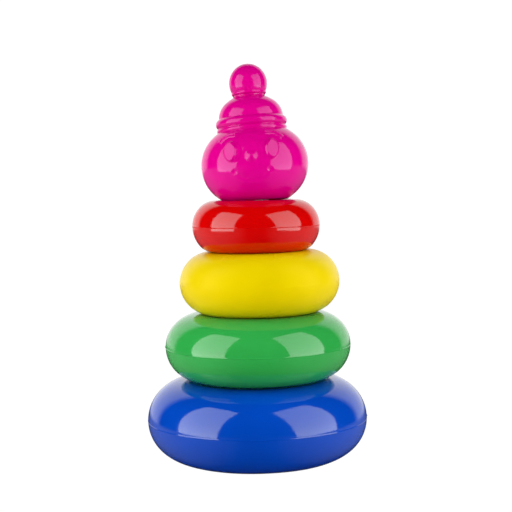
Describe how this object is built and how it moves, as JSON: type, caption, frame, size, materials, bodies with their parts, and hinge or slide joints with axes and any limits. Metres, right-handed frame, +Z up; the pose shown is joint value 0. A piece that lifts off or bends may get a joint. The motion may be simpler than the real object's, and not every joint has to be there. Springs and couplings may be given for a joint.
{
  "type": "stacking ring toy",
  "caption": "Toddler's stacking toy: hollow plastic rings of shrinking size and a doll's head with a hat, lifted one by one off a tapered post.",
  "frame": {"origin": "middle of the foot's underside, on the surface the toy stands on", "axes": "+Z up along the post; the doll's face looks along -Y; +X to the right seen from the front"},
  "size_m": [0.1278, 0.1278, 0.2295],
  "materials": {
    "white_plastic": "gloss",
    "blue_plastic": "gloss",
    "green_plastic": "gloss",
    "yellow_plastic": "gloss",
    "red_plastic": "gloss",
    "magenta_plastic": "gloss"
  },
  "bodies": {
    "stand": {"foot": "white_plastic", "post": "white_plastic", "post_cap": "white_plastic"},
    "blue_ring": {"blue_ring_upper": "blue_plastic", "blue_ring_lower": "blue_plastic"},
    "green_ring": {"green_ring_upper": "green_plastic", "green_ring_lower": "green_plastic"},
    "yellow_ring": {"yellow_ring_upper": "yellow_plastic", "yellow_ring_lower": "yellow_plastic"},
    "red_ring": {"red_ring_upper": "red_plastic", "red_ring_lower": "red_plastic"},
    "head": {"head_front": "magenta_plastic", "head_back": "magenta_plastic", "head_sleeve": "magenta_plastic"}
  },
  "joints": [
    {"name": "blue_ring_lift", "type": "slide", "parent": "stand", "child": "blue_ring", "axis": [0, 0, 1], "range_m": [0, 0.19]},
    {"name": "green_ring_lift", "type": "slide", "parent": "blue_ring", "child": "green_ring", "axis": [0, 0, 1], "range_m": [0, 0.145]},
    {"name": "yellow_ring_lift", "type": "slide", "parent": "green_ring", "child": "yellow_ring", "axis": [0, 0, 1], "range_m": [0, 0.105]},
    {"name": "red_ring_lift", "type": "slide", "parent": "yellow_ring", "child": "red_ring", "axis": [0, 0, 1], "range_m": [0, 0.07]},
    {"name": "head_lift", "type": "slide", "parent": "red_ring", "child": "head", "axis": [0, 0, 1], "range_m": [0, 0.045]}
  ]
}
